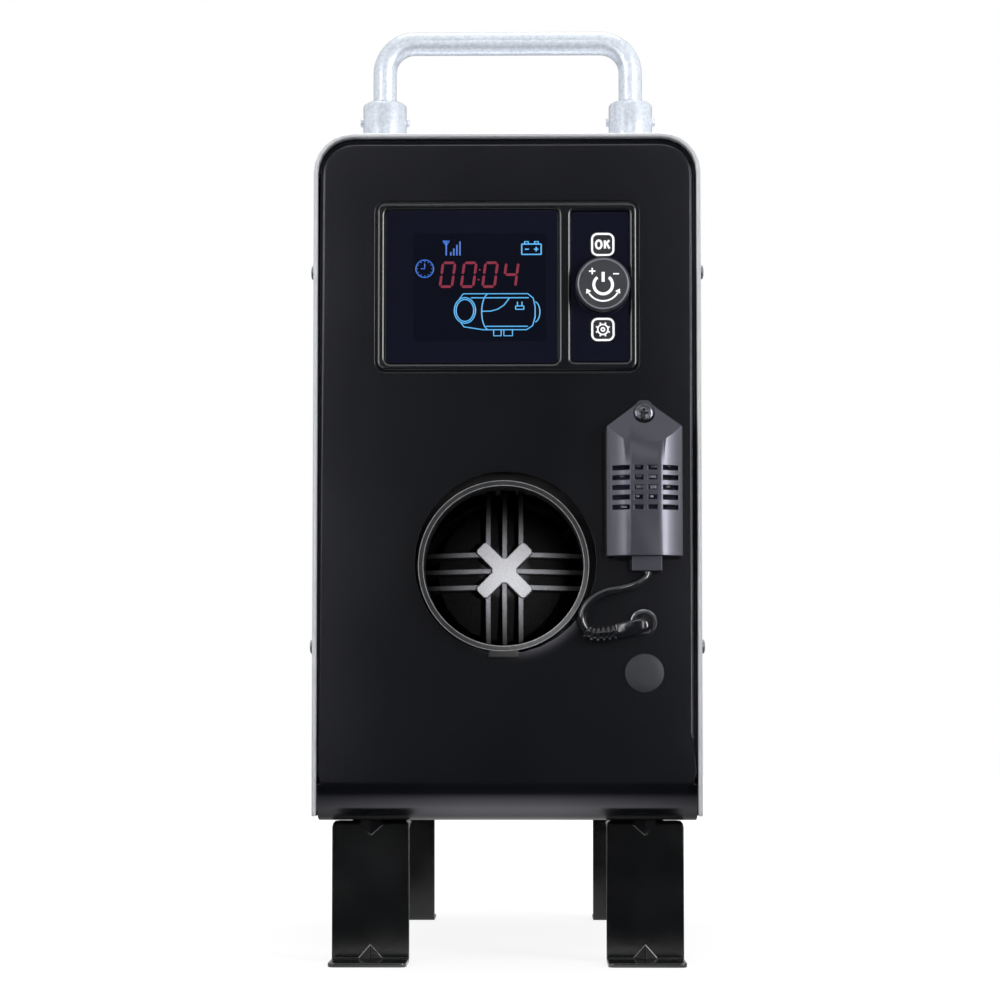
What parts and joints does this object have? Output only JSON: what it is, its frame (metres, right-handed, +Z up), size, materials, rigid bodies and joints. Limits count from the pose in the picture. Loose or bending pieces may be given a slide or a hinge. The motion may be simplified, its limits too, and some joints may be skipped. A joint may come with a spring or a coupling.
{
  "type": "diesel air heater",
  "caption": "Portable diesel air heater in a tall sheet metal case on bent feet, with its own fuel tank, display controller, round warm air outlet, wall sensor and carrying handles.",
  "frame": {"origin": "on the floor, under the middle of the object's box without the sensor lead and its plug", "axes": "+Z up, the front panel faces -Y, +X to the right of someone who looks at the front"},
  "size_m": [0.1744, 0.4214, 0.4197],
  "materials": {
    "black_paint": "semi-gloss black powder coat",
    "cover_metal": "satin",
    "foot_paint": "gloss black enamel",
    "plated_steel": "bright zinc plated",
    "screw_steel": "satin",
    "bezel_plastic": "gloss black",
    "display_window": "smoked, polished",
    "key_plastic": "gloss with white print",
    "knob_plastic": "fine texture",
    "case_plastic": "moulded",
    "circuit_board": "solder mask",
    "module_frame": "stamped",
    "core_plastic": "glass-filled, moulded",
    "cast_aluminium": "die cast",
    "plain_steel": "mill finish",
    "brass": "turned",
    "tank_plastic": "blow moulded polyethylene",
    "fuel_line_plastic": "translucent nylon",
    "rubber": "matte",
    "lead_rubber": "satin PVC",
    "sensor_plastic": "satin ABS"
  },
  "bodies": {
    "heater": {"chassis": "black_paint", "cover": "cover_metal", "handle_front": "plated_steel", "handle_rear": "plated_steel", "handle_collar_front_left": "plated_steel", "handle_collar_front_right": "plated_steel", "handle_collar_rear_left": "plated_steel", "handle_collar_rear_right": "plated_steel", "foot_front_left": "foot_paint", "foot_front_right": "foot_paint", "foot_rear_left": "foot_paint", "foot_rear_right": "foot_paint", "cover_screw_left_lower": "screw_steel", "cover_screw_left_upper": "screw_steel", "cover_screw_right_lower": "screw_steel", "cover_screw_right_upper": "screw_steel", "rear_grille": "black_paint", "power_inlet": "case_plastic", "controller_bezel": "bezel_plastic", "display_window": "display_window", "key_plate": "bezel_plastic", "controller_case": "case_plastic", "controller_board": "circuit_board", "lcd_module": "module_frame", "encoder_body": "module_frame", "outlet_duct": "core_plastic", "core_shell_lower": "core_plastic", "core_shell_upper": "core_plastic", "inlet_cap": "core_plastic", "heat_exchanger": "cast_aluminium", "burner_tube": "plain_steel", "glow_plug": "brass", "blower_housing": "cast_aluminium", "fan_motor": "plain_steel", "control_unit": "case_plastic", "core_stand": "plain_steel", "exhaust_pipe": "plain_steel", "air_pipe": "case_plastic", "fuel_tank": "tank_plastic", "fuel_pump": "plain_steel", "suction_line": "fuel_line_plastic", "delivery_line": "fuel_line_plastic", "sensor_case": "sensor_plastic", "sensor_board": "circuit_board", "sensor_screw": "screw_steel", "sensor_lead": "lead_rubber", "lead_plug": "lead_rubber", "dc_jack": "plated_steel", "blank_plug": "rubber"},
    "ok_key": {"ok_button": "key_plastic"},
    "settings_key": {"settings_button": "key_plastic"},
    "encoder_switch": {"encoder_plunger": "case_plastic"},
    "rotary_knob": {"encoder_shaft": "plain_steel", "knob": "knob_plastic"},
    "fan_rotor": {"motor_shaft": "plain_steel", "fan_wheel": "core_plastic", "combustion_blower": "cast_aluminium"},
    "pump_armature": {"pump_plunger": "plain_steel"},
    "cap_lift": {"cap_seal": "rubber"},
    "fuel_cap": {"filler_cap": "case_plastic"}
  },
  "joints": [
    {"name": "ok_button_press", "type": "slide", "parent": "heater", "child": "ok_key", "axis": [0, 1, 0], "range_m": [0, 0.0006], "stiffness_N_per_m": 2500},
    {"name": "settings_button_press", "type": "slide", "parent": "heater", "child": "settings_key", "axis": [0, 1, 0], "range_m": [0, 0.0006], "stiffness_N_per_m": 2500},
    {"name": "knob_press", "type": "slide", "parent": "heater", "child": "encoder_switch", "axis": [0, 1, 0], "range_m": [0, 0.0005], "stiffness_N_per_m": 6000},
    {"name": "knob_turn", "type": "hinge", "parent": "encoder_switch", "child": "rotary_knob", "pos_m": [0.0423, -0.2, 0.2994], "axis": [0, 1, 0], "continuous": true},
    {"name": "fan_spin", "type": "hinge", "parent": "heater", "child": "fan_rotor", "pos_m": [-0.0015, 0.08, 0.1755], "axis": [0, 1, 0], "continuous": true},
    {"name": "pump_stroke", "type": "slide", "parent": "heater", "child": "pump_armature", "axis": [0, 1, 0], "range_m": [0, 0.0035], "stiffness_N_per_m": 900},
    {"name": "cap_rise", "type": "slide", "parent": "heater", "child": "cap_lift", "axis": [0, 0, 1], "range_m": [0, 0.006]},
    {"name": "cap_turn", "type": "hinge", "parent": "cap_lift", "child": "fuel_cap", "pos_m": [0, 0.08775, 0.378], "axis": [0, 0, 1], "range_deg": [0, 540]}
  ],
  "couplings": [
    {"joint": "cap_rise", "follows": "cap_turn", "m_per_rad": 0.000636}
  ]
}
